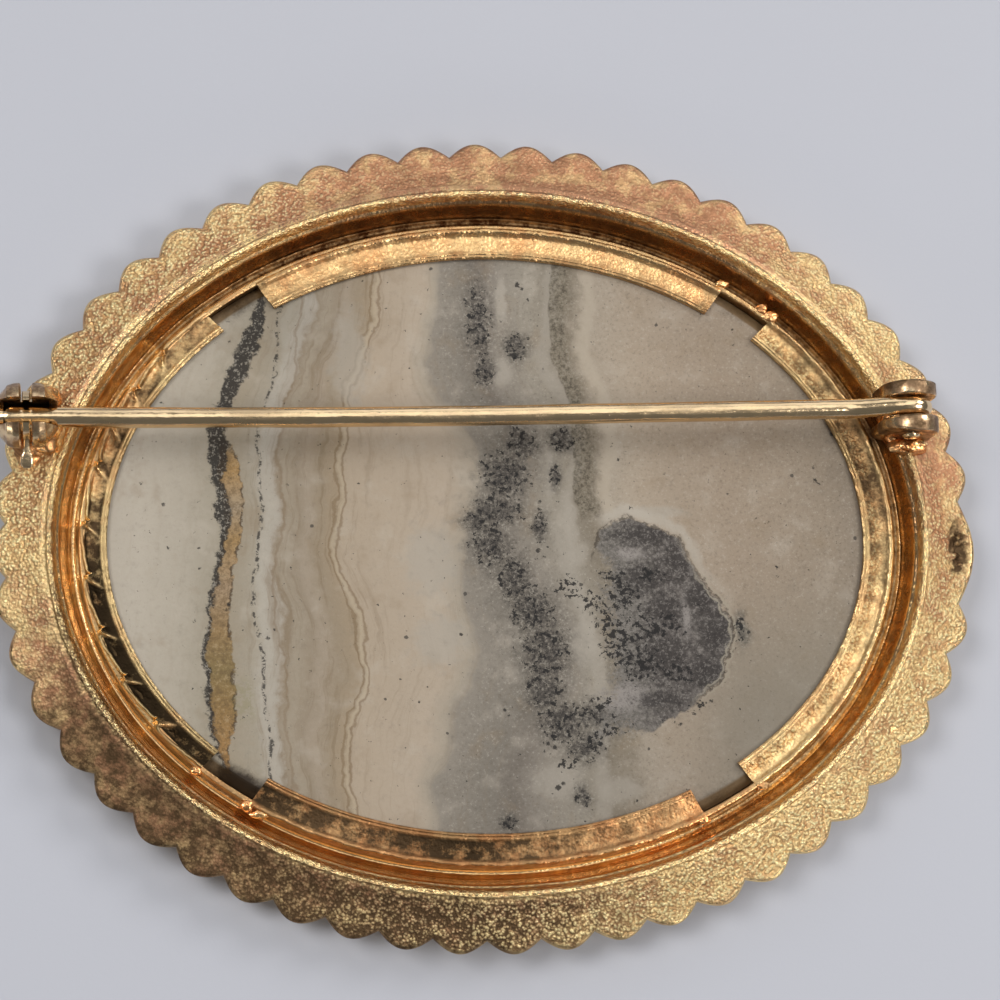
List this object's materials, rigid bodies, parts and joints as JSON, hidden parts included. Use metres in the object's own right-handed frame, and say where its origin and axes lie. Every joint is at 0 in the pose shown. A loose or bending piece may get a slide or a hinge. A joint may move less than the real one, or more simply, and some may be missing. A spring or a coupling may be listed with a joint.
{
  "type": "oval mosaic brooch",
  "caption": "Oval brooch with a scalloped gold frame, banded stone back held by folded tabs, mosaic face, hinged pin and rotating safety catch.",
  "frame": {"origin": "the middle of the part's box in X and Y, on the surface that the brooch lies on", "axes": "+Z out of the back of the brooch, +X along the pin stem from its point to its hinge, +Y from the middle of the oval towards the pin"},
  "size_m": [0.05, 0.0408, 0.0057],
  "materials": {
    "gold_frame": "cast rose-yellow gold, orange-peel flange, polished crest and tabs",
    "gold_findings": "polished pale yellow gold, finely scratched",
    "stone": "honed banded stone in cream, grey and beige with a dark mossy patch",
    "mosaic": "small matt glass tesserae in cream, grey, beige and dark grey"
  },
  "bodies": {
    "setting": {"frame": "gold_frame", "stone_plaque": "stone", "mosaic_panel": "mosaic", "hinge_rivet": "gold_findings"},
    "pin": {"pin_stem": "gold_findings"},
    "rotor": {"catch_rotor": "gold_findings"}
  },
  "joints": [
    {"name": "pin_hinge", "type": "hinge", "parent": "setting", "child": "pin", "pos_m": [0.02148, 0.00595, 0.0043], "axis": [0, 1, 0], "range_deg": [0, 110]},
    {"name": "catch_turn", "type": "hinge", "parent": "setting", "child": "rotor", "pos_m": [-0.02232, 0.00595, 0.0043], "axis": [-1, 0, 0], "range_deg": [0, 100]}
  ]
}
